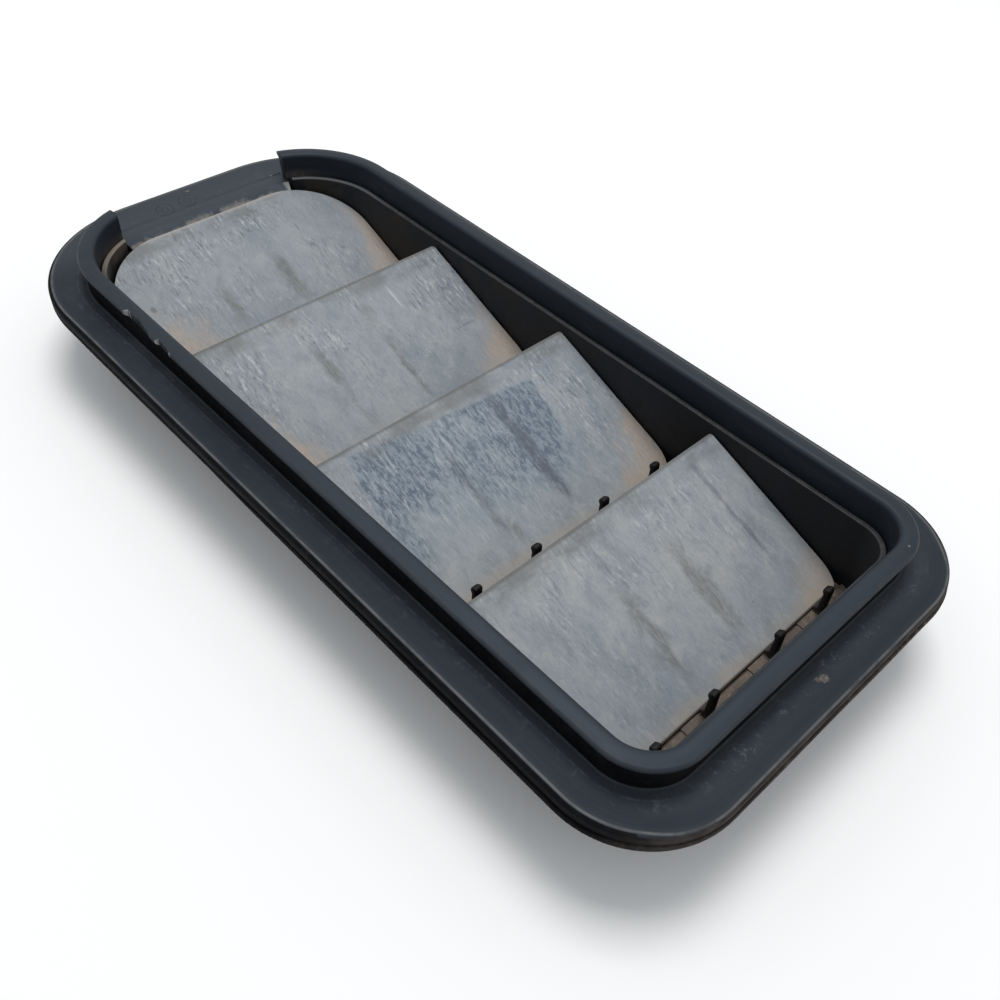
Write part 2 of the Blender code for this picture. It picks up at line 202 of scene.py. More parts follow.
def extruded(name, points, width, at=(0, 0, 0), bevel=0.0, segments=2):
    """A profile drawn in x and z, made thick along y, centred on a point of the row frame."""
    bm = bmesh.new()
    near = [bm.verts.new((x, -width / 2, z)) for x, z in points]
    far = [bm.verts.new((x, width / 2, z)) for x, z in points]
    bm.faces.new(near)
    bm.faces.new(far[::-1])
    join_rings(bm, [near, far])
    bmesh.ops.recalc_face_normals(bm, faces=bm.faces)
    if bevel:
        caps = [e for e in bm.edges if e.verts[0].co.y == e.verts[1].co.y]
        bmesh.ops.bevel(bm, geom=caps, offset=bevel, segments=segments, affect="EDGES", profile=0.5)
    bmesh.ops.translate(bm, verts=bm.verts, vec=Vector(at))
    return mesh_from_bmesh(name, bm)


def combined(base, tools, final=None):
    """The mesh of an object after exact Booleans with (mesh, operation) tools."""
    helpers = []
    for mesh, operation in tools:
        helper = new_object("helper", mesh)
        modifier = base.modifiers.new("cut", "BOOLEAN")
        modifier.object = helper
        modifier.operation = operation
        modifier.solver = "EXACT"
        helpers.append(helper)
    if final:
        final(base)
    graph = bpy.context.evaluated_depsgraph_get()
    mesh = bpy.data.meshes.new_from_object(base.evaluated_get(graph))
    base.modifiers.clear()
    base.data = mesh
    for helper in helpers:
        bpy.data.objects.remove(helper, do_unlink=True)
    return base


def edge_round(width, segments=2, angle=55):
    def add(obj):
        modifier = obj.modifiers.new("edge_round", "BEVEL")
        modifier.width = width
        modifier.segments = segments
        modifier.limit_method = "ANGLE"
        modifier.angle_limit = math.radians(angle)
    return add


def rim_place(x, y):
    """For arrays of places: distance inwards from the rim line, and whether a long side is the nearer."""
    radius = np.where(x > 0, RADIUS_EAST, RADIUS_WEST)
    qx = np.abs(x) - (HALF_X - radius)
    qy = np.abs(y) - (HALF_Y - radius)
    outside = np.hypot(np.maximum(qx, 0), np.maximum(qy, 0))
    return radius - outside - np.minimum(np.maximum(qx, qy), 0), qy > qx


def read_vectors(items, name):
    """A vector property of all vertices or faces, as three arrays."""
    values = np.empty(len(items) * 3)
    items.foreach_get(name, values)
    return values.reshape(-1, 3).T


def rim_coordinates(obj):
    """Stores each corner's place round the rim, distance inwards and height as the attribute rim."""
    x, y, z = read_vectors(obj.data.vertices, "co")
    inset, long_side = rim_place(x, y)
    along = np.where(long_side, x, y + np.sign(x) * 0.5)
    data = np.stack([along, inset, z - PLANE], 1).astype(np.float32)
    attribute = obj.data.attributes.new("rim", "FLOAT_VECTOR", "POINT")
    attribute.data.foreach_set("vector", data.ravel())
    return obj


# ---------------------------------------------------------------- materials

class Paint:
    """A material with short calls for the nodes that it is made of."""

    def __init__(self, name):
        self.material = bpy.data.materials.new(name)
        self.material.use_nodes = True
        self.tree = self.material.node_tree
        self.shader = self.tree.nodes["Principled BSDF"]

    def node(self, kind, inputs=(), **settings):
        node = self.tree.nodes.new(kind)
        for key, value in settings.items():
            setattr(node, key, value)
        for key, value in dict(inputs).items():
            self.put(node.inputs[key], value)
        return node

    def put(self, socket, value):
        """A socket takes another socket or a plain value."""
        if isinstance(value, bpy.types.NodeSocket):
            self.tree.links.new(value, socket)
        elif value is not None:
            socket.default_value = value

    def attribute(self, name):
        return self.node("ShaderNodeAttribute", attribute_name=name).outputs["Vector"]

    def place(self):
        return self.node("ShaderNodeTexCoord").outputs["Object"]

    def split(self, vector):
        node = self.node("ShaderNodeSeparateXYZ", {0: vector})
        return node.outputs[0], node.outputs[1], node.outputs[2]

    def stretch(self, vector, scale, shift=(0, 0, 0)):
        node = self.node("ShaderNodeMapping", {"Vector": vector, "Scale": scale, "Location": shift})
        return node.outputs[0]

    def math(self, operation, a, b=None, c=None, clamp=False):
        node = self.node("ShaderNodeMath", operation=operation, use_clamp=clamp)
        for socket, value in zip(node.inputs, (a, b, c)):
            self.put(socket, value)
        return node.outputs[0]

    def linear(self, value, gain, offset):
        """value * gain + offset"""
        return self.math("MULTIPLY_ADD", value, gain, offset)

    def size_of(self, value):
        return self.math("ABSOLUTE", value)

    def step(self, value, low, high, to_low=0.0, to_high=1.0):
        """Smooth change from to_low to to_high as value goes from low to high."""
        keys = {"Value": value, "From Min": low, "From Max": high, "To Min": to_low, "To Max": to_high}
        return self.node("ShaderNodeMapRange", keys, interpolation_type="SMOOTHSTEP").outputs[0]

    def noise(self, vector, scale, detail=3.0, rough=0.5, twist=0.0, low=None, high=None):
        keys = {"Vector": vector, "Scale": scale, "Detail": detail, "Roughness": rough,
                "Distortion": twist}
        out = self.node("ShaderNodeTexNoise", keys).outputs[0]
        return out if low is None else self.step(out, low, high)

    def texture(self, vector, scale, *settings):
        """Noise on a vector stretched by a scale for each axis."""
        return self.noise(self.stretch(vector, scale), 1.0, *settings)

    def specks(self, vector, scale, size, share):
        """Small round dots: one in share of the cells has one."""
        node = self.node("ShaderNodeTexVoronoi", {"Vector": vector, "Scale": scale, "Randomness": 1.0})
        dot = self.step(node.outputs["Distance"], size * 0.6, size, 1.0, 0.0)
        pick = self.split(node.outputs["Color"])[0]
        return self.math("MULTIPLY", dot, self.math("GREATER_THAN", pick, 1 - share))

    def band(self, value, low, high, soft):
        """1 between low and high, fading over soft on both sides."""
        rise = self.step(value, low - soft, low + soft)
        fall = self.step(value, high - soft, high + soft, 1.0, 0.0)
        return self.math("MULTIPLY", rise, fall)

    def times(self, *values):
        total = values[0]
        for value in values[1:]:
            total = self.math("MULTIPLY", total, value)
        return total

    def plus(self, *values):
        total = values[0]
        for value in values[1:]:
            total = self.math("ADD", total, value, clamp=True)
        return total

    def spot(self, vector, centre, size, wobble=None):
        """1 at a centre, falling to 0 at an ellipse of that size."""
        moved = self.node("ShaderNodeVectorMath", {0: vector, 1: centre}, operation="SUBTRACT").outputs[0]
        scale = tuple(1 / s for s in size)
        scaled = self.node("ShaderNodeVectorMath", {0: moved, 1: scale}, operation="MULTIPLY").outputs[0]
        length = self.node("ShaderNodeVectorMath", {0: scaled}, operation="LENGTH").outputs["Value"]
        if wobble is not None:
            length = self.math("ADD", length, wobble)
        return self.step(length, 0.35, 1.0, 1.0, 0.0)

    def mix(self, factor, a, b):
        node = self.node("ShaderNodeMix", data_type="RGBA")
        self.put(node.inputs[0], factor)
        for socket, value in ((node.inputs[6], a), (node.inputs[7], b)):
            self.put(socket, (*value, 1.0) if isinstance(value, tuple) and len(value) == 3 else value)
        return node.outputs[2]

    def over(self, color, tone, *masks):
        """Lays a tone over a colour as far as the masks allow."""
        return self.mix(self.times(*masks), color, tone)

    def layers(self, color, coats):
        """Lays coats over a colour, each a tone followed by its masks."""
        for tone, *masks in coats:
            color = self.over(color, tone, *masks)
        return color

    def finish(self, color, roughness, height=None, distance=0.0001, strength=1.0, **sockets):
        self.put(self.shader.inputs["Base Color"], color)
        self.put(self.shader.inputs["Roughness"], roughness)
        for key, value in sockets.items():
            self.shader.inputs[key.replace("_", " ")].default_value = value
        if height is not None:
            keys = {"Height": height, "Distance": distance, "Strength": strength}
            bump = self.node("ShaderNodeBump", keys)
            self.put(self.shader.inputs["Normal"], bump.outputs[0])
        return self.material


def upward(paint):
    """1 where the surface faces up, 0 where it is upright or faces down."""
    normal = paint.node("ShaderNodeNewGeometry").outputs["Normal"]
    return paint.step(paint.split(normal)[2], 0.25, 0.85)


# Plain rings engraved in the flange at the collar's open end: centres, and each ring's two edges
RING_CENTRES = ((-0.1180, -0.0105, 0.0), (-0.1186, -0.0023, 0.0))
RING_EDGES = ((2.55 * MM, 2.85 * MM), (0.90 * MM, 1.15 * MM))
RING_SOFT = 0.12 * MM
ICE_BLUE = (0.80, 0.90, 1.0, 1.0)


def frame_plastic():
    """Blue grey plastic, painted lighter where it faces up (painted light), with wear at its edges and a
    painted highlight along the rim's top edge, and dusty in its corners.
    """
    p = Paint("weathered_black_plastic")
    rim = p.attribute("rim")
    place = p.place()
    x, y, _ = p.split(place)
    _, inset, height = p.split(rim)
    up = upward(p)
    fine = p.noise(place, 900, 4, 0.6)
    mottle = p.noise(place, 42, 4, 0.6, 0.3, 0.36, 0.66)
    broad = p.noise(place, 13, 3, 0.5, 0.0, 0.38, 0.62)
    streak = p.texture(rim, (90, 1400, 600), 3, 0.55, 0.0, 0.48, 0.72)
    brush = p.texture(rim, (700, 120, 200), 3, 0.6, 0.0, 0.52, 0.75)
    scuff = p.texture(place, (260, 260, 200), 6, 0.72, 0.6, 0.54, 0.68)
    bright = p.texture(place, (420, 420, 200), 6, 0.75, 0.8, 0.55, 0.66)
    powder = p.noise(place, 420, 5, 0.7, 0.0, 0.40, 0.62)
    breaks = p.noise(place, 130, 4, 0.65, 0.0, 0.33, 0.6)
    grit = p.noise(place, 260, 5, 0.7, 0.0, 0.45, 0.68)
    cloud = p.noise(place, 110, 5, 0.65, 0.4, 0.40, 0.64)
    speck = p.plus(p.specks(place, 95, 0.055, 0.10), p.specks(place, 210, 0.09, 0.05))
    chip = p.node("ShaderNodeAttribute", attribute_name="chip").outputs["Fac"]

    flat = p.times(up, p.step(height, 0.5 * MM, 0.0))
    east = p.step(x, 0.112, 0.119)
    near = p.step(y, -0.040, -0.050)
    # rise marks where the flat flange is painted lighter towards the collar wall: painted light that lifts
    # the shade near the wall.
    rise = p.times(flat, p.step(inset, 2.0 * MM, 9.0 * MM))
    lip_top = p.times(up, p.step(height, 5.5 * MM, 7.0 * MM))
    # Faces that face up are painted lighter than the rest: painted light.
    color = p.mix(p.times(up, p.linear(mottle, 0.6, 0.4)),
                  (0.0098, 0.0130, 0.0184), (0.0154, 0.0200, 0.0276))
    color = p.layers(color, (
        ((0.024, 0.031, 0.041), broad, up, 0.35),
        ((0.06, 0.066, 0.074), streak, 0.10),
        ((0.07, 0.076, 0.084), brush, up, 0.05),
        ((0.040, 0.047, 0.056), rise, p.linear(east, 0.30, 0.30)),
        ((0.040, 0.046, 0.052), flat, p.step(inset, 1.6 * MM, 0.2 * MM), 0.35),
        # Painted shade: the east flange is painted darker towards the rim.
        ((0.006, 0.010, 0.016), flat, east, p.step(inset, 4.0 * MM, 0.5 * MM), 0.5),
        ((0.046, 0.053, 0.062), flat, p.step(x, -0.100, -0.116), 0.6),
        ((0.030, 0.037, 0.046), lip_top, 0.35),
    ))
    # Pale scuffs and a broken line of dust near the collar's foot, and a pale line along the top edge,
    # partly wear and partly a painted highlight
    foot_line = p.times(p.band(inset, 6.75 * MM, 7.15 * MM, 0.25 * MM), near, flat)
    shifted = p.linear(p.step(x, 0.117, 0.1235), 0.60 * MM, inset)
    rim_wear_and_highlight = p.times(p.band(shifted, 0.02 * MM, 0.50 * MM, 0.20 * MM),
                   p.step(height, -0.5 * MM, -0.15 * MM))
    # Dust lies in the corner between flange and collar, and the lip has light scuffs
    corner = p.times(p.band(inset, 8.1 * MM, 9.6 * MM, 0.5 * MM), p.step(height, -0.2 * MM, -1.0 * MM))
    lip = p.times(p.band(height, 5.6 * MM, 9 * MM, 0.4 * MM),
                  p.band(inset, 8.0 * MM, 9.2 * MM, 0.25 * MM))
    color = p.layers(color, (
        ((0.080, 0.086, 0.094), flat, scuff, p.step(inset, 3.0 * MM, 6.5 * MM), 0.40),
        ((0.14, 0.145, 0.15), bright, east, flat, p.band(inset, 4.5 * MM, 8.6 * MM, 1.2 * MM), 0.55),
        ((0.085, 0.088, 0.092), foot_line, powder, 0.5),
        ((0.125, 0.123, 0.12), rim_wear_and_highlight, p.linear(breaks, 0.65, 0.35), 0.8),
        ((0.055, 0.056, 0.058), corner, p.linear(grit, 0.35, 0.25)),
        ((0.065, 0.068, 0.072), corner, east, 0.35),
        ((0.10, 0.10, 0.10), lip, breaks, 0.10),
        ((0.16, 0.165, 0.17), speck, up, 0.8),
    ))
    # Brown dust on the inside of the collar near its open end
    west = p.step(x, -0.098, -0.111)
    gap = p.times(p.step(x, -0.1045, -0.1055), p.step(p.size_of(y), 30.6 * MM, 30.2 * MM),
                  p.step(height, 0.3 * MM, 0.0))
    inside = p.times(p.step(inset, 12.8 * MM, 13.2 * MM), p.step(height, 3.5 * MM, -0.6 * MM),
                     p.math("SUBTRACT", 1.0, gap))
    # The tongue in the gap: a slope painted darker and bluish as painted shade, with a ragged pale sill
    # and a pale +Y end
    tongue = p.times(p.step(inset, 13.3 * MM, 13.6 * MM), p.step(height, -3.2 * MM, -3.0 * MM), gap)
    slope = p.times(tongue, p.step(height, -1.22 * MM, -1.40 * MM))
    reach = p.linear(grit, 0.7 * MM, p.linear(cloud, 1.5 * MM, inset))
    sill = p.times(tongue, p.step(reach, 15.7 * MM, 17.5 * MM), p.linear(fine, 0.5, 0.5))
    color = p.layers(color, (
        ((0.16, 0.125, 0.095), inside, west, p.linear(cloud, 0.6, 0.4), 0.75),
        ((0.045, 0.042, 0.040), inside, cloud, 0.12),
        ((0.020, 0.030, 0.044), slope, 0.5),
        ((0.25, 0.22, 0.19), sill, 0.85),
        ((0.34, 0.32, 0.30), tongue, p.step(y, 27.4 * MM, 28.6 * MM), 0.6),
        # Broken plastic shows pale where the lip is chipped
        ((0.50, 0.50, 0.50), chip, p.linear(grit, 0.5, 0.5)),
    ))
    rough = p.linear(p.noise(place, 60, 4, 0.6), 0.24, 0.38)
    rough = p.plus(rough, p.times(corner, 0.25), p.times(inside, west, 0.3))
    pits = p.plus(p.times(fine, 0.12), p.times(speck, 0.23), p.times(p.noise(place, 160, 3, 0.5), 0.17))
    level = p.node("ShaderNodeCombineXYZ", {0: x, 1: y}).outputs[0]
    for centre in RING_CENTRES:
        away = p.node("ShaderNodeVectorMath", {0: level, 1: centre}, operation="DISTANCE")
        groove = p.plus(*(p.band(away.outputs["Value"], *edges, RING_SOFT) for edges in RING_EDGES))
        groove = p.times(groove, p.step(x, -0.112, -0.113), up)
        # The groove is painted darker: painted shade in the engraved ring.
        color = p.over(color, (0.012, 0.015, 0.020), groove, 0.35)
        pits = p.math("SUBTRACT", pits, p.times(groove, 0.9))
    return p.finish(color, rough, pits, 0.00018, 0.7, Specular_IOR_Level=0.24, Specular_Tint=ICE_BLUE)


def shaded_side_plastic():
    """A darker copy of the same plastic for upright faces and undersides: painted shade."""
    p = Paint("shaded_black_plastic")
    place = p.place()
    cloud = p.noise(place, 120, 4, 0.6, 0.3, 0.4, 0.64)
    grit = p.noise(place, 500, 4, 0.7, 0.0, 0.45, 0.68)
    color = p.mix(cloud, (0.0035, 0.0038, 0.0048), (0.0062, 0.0064, 0.0078))
    color = p.over(color, (0.030, 0.028, 0.026), grit, 0.12)
    east = p.step(p.split(place)[0], 0.112, 0.1245)
    color = p.over(color, (0.085, 0.070, 0.063), east, p.linear(cloud, 0.3, 0.3))
    return p.finish(color, 0.65, p.times(grit, 0.6), 0.00004, 0.5, Specular_IOR_Level=0.05)


def cassette_plastic():
    """Blue black plastic with dust on its ledge, a painted highlight on the ledge at the -X end towards
    +Y, brown towards -X.
    """
    p = Paint("dusty_cassette_plastic")
    place = p.place()
    x, y, _ = p.split(place)
    height = p.split(p.attribute("rim"))[2]
    up = upward(p)
    broad = p.noise(place, 30, 3, 0.5, 0.0, 0.4, 0.6)
    cloud = p.noise(place, 95, 5, 0.65, 0.5, 0.42, 0.66)
    grit = p.noise(place, 420, 4, 0.7, 0.0, 0.40, 0.66)
    runs = p.texture(place, (220, 220, 22), 4, 0.6, 0.3, 0.45, 0.7)
    old = p.step(x, 0.030, -0.060)
    west = p.times(p.step(x, -0.088, -0.108), p.step(y, 0.012, -0.012))
    north = p.times(p.step(x, -0.070, -0.095), p.step(y, -0.010, 0.015))
    ledge = p.times(up, p.step(height, -0.4 * MM, 0.1 * MM))
    crumbs = p.times(ledge, p.specks(place, 130, 0.13, 0.16), p.step(x, -0.090, -0.070))
    floor = p.times(up, p.step(height, -1.0 * MM, -3.0 * MM))
    color = p.mix(broad, (0.0052, 0.0066, 0.0090), (0.0085, 0.0105, 0.0142))
    color = p.layers(color, (
        ((0.026, 0.028, 0.030), runs, 0.12),
        ((0.038, 0.028, 0.018), cloud, p.plus(p.times(old, 0.50), 0.12)),
        ((0.058, 0.060, 0.064), ledge, p.linear(grit, 0.35, 0.35)),
        ((0.30, 0.27, 0.23), crumbs, 0.8),
        # Painted highlight: a bluish light line on the ledge at the -X end towards +Y.
        ((0.115, 0.120, 0.130), ledge, north, 0.7),
        ((0.26, 0.215, 0.17), ledge, west, p.linear(cloud, 0.4, 0.5)),
        ((0.11, 0.088, 0.068), west, p.step(height, -6 * MM, -1.5 * MM), cloud, 0.45),
        ((0.14, 0.11, 0.085), floor, p.linear(grit, 0.4, 0.4)),
    ))
    bump = p.plus(p.times(grit, 0.5), p.times(cloud, 0.5))
    return p.finish(color, p.linear(cloud, 0.2, 0.46), bump, 0.00008, 0.6, Specular_IOR_Level=0.25)


def hook_plastic():
    """Black plastic under brown dust that lies low on the bar."""
    p = Paint("dusty_hook_plastic")
    place = p.place()
    up = upward(p)
    height = p.math("SUBTRACT", p.split(place)[2], HINGES[0].z)
    cloud = p.noise(place, 150, 5, 0.65, 0.4, 0.38, 0.62)
    grit = p.noise(place, 700, 4, 0.7, 0.0, 0.40, 0.66)
    color = p.mix(cloud, (0.0085, 0.0075, 0.0085), (0.0135, 0.0115, 0.0125))
    low = p.step(height, 2.6 * MM, 0.6 * MM)
    dust = p.times(low, p.plus(p.times(up, 0.8), 0.25), p.linear(cloud, 0.35, 0.55))
    color = p.mix(dust, color, p.mix(grit, (0.115, 0.088, 0.068), (0.185, 0.150, 0.120)))
    rough = p.linear(grit, 0.2, 0.5)
    bump = p.plus(p.times(grit, 0.4), p.times(cloud, 0.4))
    return p.finish(color, rough, bump, 0.00008, 0.6, Specular_IOR_Level=0.2)


def seal_rubber():
    """Matte black rubber, dusty at its +X end."""
    p = Paint("dusty_seal_rubber")
    place = p.place()
    cloud = p.noise(place, 85, 5, 0.65, 0.4, 0.36, 0.64)
    grit = p.noise(place, 500, 4, 0.7, 0.0, 0.4, 0.66)
    color = p.mix(cloud, (0.0022, 0.0022, 0.0027), (0.0050, 0.0046, 0.0052))
    east = p.step(p.split(place)[0], 0.108, 0.1245)
    reach = p.plus(p.times(east, 0.85), 0.008)
    dust = p.times(reach, p.linear(p.times(cloud, grit), 0.7, 0.35))
    color = p.mix(dust, color, (0.105, 0.088, 0.078))
    rough = p.linear(grit, 0.15, 0.72)
    bump = p.plus(p.times(grit, 0.5), p.times(cloud, 0.5))
    return p.finish(color, rough, bump, 0.00010, 0.7, Specular_IOR_Level=0.05)


def seat_plastic():
    """Dull black plastic of the grids under the flaps."""
    p = Paint("seat_plastic")
    place = p.place()
    cloud = p.noise(place, 120, 5, 0.6, 0.3, 0.4, 0.64)
    grit = p.noise(place, 600, 4, 0.7, 0.0, 0.42, 0.66)
    color = p.mix(cloud, (0.009, 0.0095, 0.0105), (0.019, 0.019, 0.020))
    color = p.over(color, (0.09, 0.075, 0.06), upward(p), grit, 0.4)
    return p.finish(color, p.linear(cloud, 0.15, 0.45), grit, 0.00005, 0.5)


def spring_steel():
    p = Paint("spring_steel")
    place = p.place()
    brushed = p.texture(place, (900, 900, 60), 4, 0.6)
    rust = p.noise(place, 260, 5, 0.7, 0.4, 0.58, 0.72)
    color = p.mix(brushed, (0.36, 0.36, 0.37), (0.50, 0.50, 0.50))
    color = p.over(color, (0.16, 0.07, 0.035), rust, 0.7)
    rough = p.plus(p.linear(brushed, 0.2, 0.28), p.times(rust, 0.35))
    return p.finish(color, rough, brushed, 0.00003, 0.5, Metallic=0.9)


# Stains on each flap in mm: place across, half width, start and end up the slope, strength, 1 for blue
STAINS = (
    ((-13.0, 1.9, 11.0, 23.5, 0.62, 0), (8.3, 2.3, 11.5, 28.0, 0.75, 0)),
    ((-11.5, 1.5, 21.0, 34.0, 0.70, 0), (-11.0, 1.1, 5.0, 20.0, 0.35, 0),
     (9.2, 2.0, 35.0, 40.0, 0.60, 0), (9.0, 1.2, 8.0, 28.0, 0.70, 0)),
    ((-10.9, 1.7, 9.0, 33.0, 0.75, 1), (-9.0, 1.3, 4.0, 12.0, 0.55, 0), (10.4, 2.3, 8.0, 42.0, 1.0, 1)),
    ((-9.0, 2.2, 7.5, 31.0, 0.65, 0), (-8.4, 1.5, 33.0, 46.0, 0.35, 1),
     (10.4, 2.6, 7.5, 31.0, 0.65, 0), (31.7, 0.9, 14.0, 44.0, 0.60, 1)),
)
# Small marks on a flap: place up the slope and across, half sizes, strength, tone
MARKS = (
    ((0.0262, -0.0346, 0.0016, 0.0012, 0.75, 0.10), (0.0341, 0.0214, 0.0022, 0.0004, 0.55, 0.10)),
    ((0.0207, 0.0345, 0.0004, 0.0050, 0.50, 0.12), (0.0390, 0.0204, 0.0060, 0.0006, 0.55, 0.50)),
    (), (),
)
# Tan dust in the corners by the hinge: its reach along the hinge and up the side, for -Y and for +Y
CORNERS = (((34, 31), (12, 42)), ((19, 31.6), (18.5, 22)), ((15, 12), (19, 23)), ((10, 9), (16, 13)))
CORNER_STRENGTH = (0.85, 0.95, 0.85, 0.6)
AGED = (1.0, 0.9, 0.75, 0.45)
SHADED = (0.17, 0.11, 0.0, 0.0)
WASHED_BAY = 2
# Where the washed rubber is darkest: place up the slope and across, half sizes, strength
DARK_PARTS = (
    (0.037, -0.026, 0.017, 0.019, 1.0), (0.035, 0.015, 0.027, 0.020, 0.8),
    (0.034, -0.006, 0.020, 0.012, 0.6), (0.018, 0.004, 0.016, 0.017, 0.35),
    (0.020, -0.0335, 0.018, 0.004, 0.6),
)


def washed_patch(p, color, sheet, moved, blotch):
    """A rectangle washed back to bluish mottled rubber."""
    slope, across, _ = p.split(sheet)

    jitter = p.noise(moved, 300, 3, 0.6)
    top = p.linear(jitter, 0.0010, p.linear(across, 0.10, slope))
    right = p.linear(jitter, 0.0008, p.linear(slope, -0.15, across))
    patch = p.times(p.band(top, 0.0085, 0.0438, 0.0006), p.band(right, -0.0405, 0.0191, 0.0005),
                    p.step(slope, 0.004, 0.020))
    mottle = p.texture(moved, (330, 820, 1), 6, 0.74, 0.5, 0.44, 0.58)
    fleck = p.texture(moved, (620, 1500, 1), 4, 0.7, 0.4, 0.42, 0.60)
    streak = p.texture(moved, (150, 1200, 1), 5, 0.66, 0.7, 0.52, 0.66)
    rub = p.linear(blotch, 1.2, -0.6)
    dark = p.plus(*(p.times(p.spot(sheet, (s, y, 1.0), (long, wide, 9.0), rub), strength)
                    for s, y, long, wide, strength in DARK_PARTS))
    return p.layers(color, (
        ((0.218, 0.265, 0.308), patch, 0.50),
        ((0.148, 0.194, 0.245), patch, dark, p.linear(fleck, 0.4, 0.25)),
        ((0.078, 0.110, 0.148), patch, p.plus(dark, 0.15), mottle, 0.90),
        ((0.42, 0.44, 0.46), patch, streak, p.step(across, 0.014, 0.004), 0.55),
    ))


def flap_rubber(bay):
    """Grey rubber, wrinkled down the slope, with stains, corner dust and a dirty band at the free edge."""
    p = Paint(f"flap_rubber_{bay + 1}")
    sheet = p.attribute("sheet")
    slope, across, side = p.split(sheet)
    moved = p.stretch(sheet, (1, 1, 1), (bay * 0.31, bay * 0.17, 0))
    broad = p.noise(moved, 17, 4, 0.55, 0.2)
    cloud = p.texture(moved, (34, 62, 1), 7, 0.68, 0.35)
    blotch = p.texture(moved, (120, 190, 1), 6, 0.70, 0.5)
    grain = p.texture(moved, (330, 1700, 1), 4, 0.65)
    weave = p.texture(moved, (900, 1700, 1), 4, 0.75)
    wrinkle = p.texture(moved, (260, 1080, 1), 5, 0.68, 0.7)
    smear = p.texture(moved, (110, 62, 1), 5, 0.66, 0.4, 0.38, 0.62)
    # Fine wrinkles run down the slope, in patches
    zone = p.texture(moved, (42, 55, 1), 4, 0.6, 0.3, 0.42, 0.60)
    crease = p.times(zone, p.linear(p.step(slope, 0.010, 0.036), 0.65, 0.35), AGED[bay])
    color = p.mix(p.step(broad, 0.36, 0.64), (0.236, 0.266, 0.300), (0.284, 0.303, 0.320))
    color = p.layers(color, (
        ((0.335, 0.345, 0.350), p.step(cloud, 0.50, 0.64), 0.50),
        ((0.190, 0.220, 0.252), p.step(cloud, 0.50, 0.36), 0.50),
        ((0.39, 0.392, 0.385), p.step(blotch, 0.51, 0.64), 0.36),
        ((0.165, 0.190, 0.215), p.step(blotch, 0.49, 0.36), 0.40),
        ((0.53, 0.545, 0.55), p.step(wrinkle, 0.53, 0.66), crease, 0.90),
        ((0.100, 0.125, 0.155), p.step(wrinkle, 0.47, 0.35), crease, 0.95),
        ((0.44, 0.45, 0.455), p.step(wrinkle, 0.54, 0.72), 0.25 * AGED[bay]),
        ((0.43, 0.435, 0.44), p.step(grain, 0.53, 0.75), 0.32),
        ((0.16, 0.175, 0.19), p.step(grain, 0.45, 0.25), 0.30),
        ((0.46, 0.46, 0.455), p.step(weave, 0.52, 0.74), 0.30),
        ((0.150, 0.165, 0.180), p.step(weave, 0.48, 0.26), 0.32),
        ((0.09, 0.12, 0.155), SHADED[bay]),
    ))
    if bay == WASHED_BAY:
        color = washed_patch(p, color, sheet, moved, blotch)
    # Olive grey dirt just inside the free edge, and a thin line on it
    free = p.step(slope, FLAP_LENGTH - 0.0072, FLAP_LENGTH - 0.0030)
    lip = p.step(slope, FLAP_LENGTH - 0.0012, FLAP_LENGTH - 0.0004)
    color = p.layers(color, (
        ((0.140, 0.146, 0.143), free, p.linear(smear, 0.62, 0.10)),
        ((0.105, 0.100, 0.092) if bay else (0.34, 0.31, 0.28), lip, 0.65),
    ))
    # Stains run down the slope from the hooks of the flap above
    for y, width, start, end, strength, blue in STAINS[bay]:
        wander = p.noise(p.stretch(moved, (85, 140, 1), (y, start, 0)), 1.0, 5, 0.65)
        line = p.linear(wander, 0.004, p.math("ADD", across, -y * MM - 0.002))
        off = p.math("MULTIPLY", p.size_of(line), 1 / (width * MM))
        ragged = 2.0 if blue else 3.6
        off = p.math("ADD", off, p.linear(blotch, ragged, -ragged / 2))
        ends = p.band(p.linear(wander, 0.012, slope), start * MM + 0.006, end * MM + 0.006, 0.0045)
        stain = p.times(p.step(off, 1.35, 0.05), ends, p.linear(p.step(grain, 0.38, 0.58), 0.55, 0.45))
        color = p.over(color, (0.088, 0.102, 0.128) if blue else (0.112, 0.114, 0.100), stain, strength)
    for s, y, long, wide, strength, tone in MARKS[bay]:
        mark = p.spot(sheet, (s, y, 1.0), (long, wide, 9.0), p.linear(blotch, 0.9, -0.45))
        color = p.over(color, (tone, tone * 1.02, tone * 1.05), mark, strength)
    for sign, (reach, rise) in zip((1, -1), CORNERS[bay]):
        corner = p.linear(across, sign / (reach * MM), FLAP_HALF_Y / (reach * MM))
        corner = p.linear(slope, 1 / (rise * MM), corner)
        corner = p.math("ADD", corner, p.linear(blotch, 1.3, -0.65))
        corner = p.math("ADD", corner, p.linear(cloud, 1.2, -0.6))
        dusty = p.times(p.step(corner, 1.22, 0.62), p.linear(p.step(grain, 0.3, 0.7), 0.5, 0.5))
        color = p.over(color, (0.420, 0.335, 0.265), dusty, CORNER_STRENGTH[bay])
    # A dusty strip by the hinge, the bead painted dark as painted shade in the gap at the hinge, and small
    # pits
    strip = p.times(p.step(slope, 0.0045, 0.0005), p.linear(smear, 0.6, 0.3))
    pits = p.plus(p.specks(sheet, 240, 0.10, 0.03), p.specks(sheet, 420, 0.12, 0.03))
    color = p.layers(color, (
        ((0.36, 0.30, 0.24), strip, 0.65),
        ((0.12, 0.10, 0.08), p.step(slope, -0.0001, -0.0005)),
        ((0.12, 0.12, 0.12), pits, 0.55),
    ))
